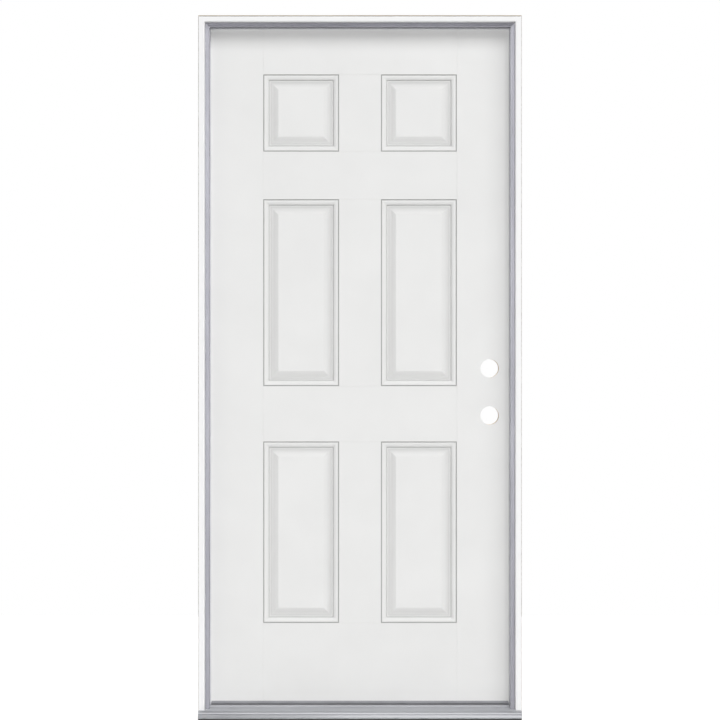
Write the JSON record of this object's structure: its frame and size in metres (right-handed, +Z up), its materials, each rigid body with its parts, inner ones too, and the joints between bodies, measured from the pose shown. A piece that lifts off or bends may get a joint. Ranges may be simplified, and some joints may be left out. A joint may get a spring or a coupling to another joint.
{
  "type": "panelled front door in its frame",
  "caption": "Inswing panelled entry door hung on butt hinges in its own jambs, head, ribbed sill and seals, bored for a latch and a deadbolt.",
  "frame": {"origin": "foot of the frame, on its centre line, at mid depth of the jambs: the middle of the sill's underside between the jambs' outside and inside edges", "axes": "+X to the right as seen from outside (hinges at -X, lock at +X), +Y into the house, +Z up"},
  "size_m": [0.952, 0.1568, 2.076],
  "materials": {
    "primed_frame": "smooth white primer on wood",
    "door_skin": "smooth white primer on a moulded fibreglass skin",
    "stop_facing": "satin anodised grey",
    "foam_seal": "smooth pale grey film over foam",
    "pad_foam": "pale grey foam",
    "bare_pine": "planed bare pine",
    "sill_aluminium": "satin mill finish, ribbed",
    "cap_composite": "satin grey",
    "core_foam": "rigid foam, cream",
    "sweep_vinyl": "soft grey vinyl, matt",
    "hinge_steel": "satin nickel plate",
    "screw_steel": "plated, satin"
  },
  "bodies": {
    "frame": {"hinge_jamb": "primed_frame", "strike_jamb": "primed_frame", "head_jamb": "primed_frame", "hinge_stop_facing": "stop_facing", "strike_stop_facing": "stop_facing", "head_stop_facing": "stop_facing", "hinge_seal": "foam_seal", "strike_seal": "foam_seal", "head_seal": "foam_seal", "hinge_corner_pad": "pad_foam", "strike_corner_pad": "pad_foam", "sill_core": "bare_pine", "sill_deck": "sill_aluminium", "sill_cap": "cap_composite", "sill_cap_screws": "screw_steel", "frame_screws": "screw_steel", "frame_leaf_top": "hinge_steel", "frame_leaf_middle": "hinge_steel", "frame_leaf_bottom": "hinge_steel", "hinge_pin_top": "hinge_steel", "hinge_pin_middle": "hinge_steel", "hinge_pin_bottom": "hinge_steel", "frame_leaf_screws": "screw_steel"},
    "door": {"exterior_skin": "door_skin", "interior_skin": "door_skin", "hinge_stile": "bare_pine", "lock_stile": "bare_pine", "top_rail": "bare_pine", "bottom_rail": "bare_pine", "lock_block": "bare_pine", "foam_core": "core_foam", "door_sweep": "sweep_vinyl", "door_leaf_top": "hinge_steel", "door_leaf_middle": "hinge_steel", "door_leaf_bottom": "hinge_steel", "door_leaf_screws": "screw_steel"}
  },
  "joints": [
    {"name": "door_swing", "type": "hinge", "parent": "frame", "child": "door", "pos_m": [-0.4555, 0.0655, 1.0505], "axis": [0, 0, 1], "range_deg": [0, 175]}
  ]
}
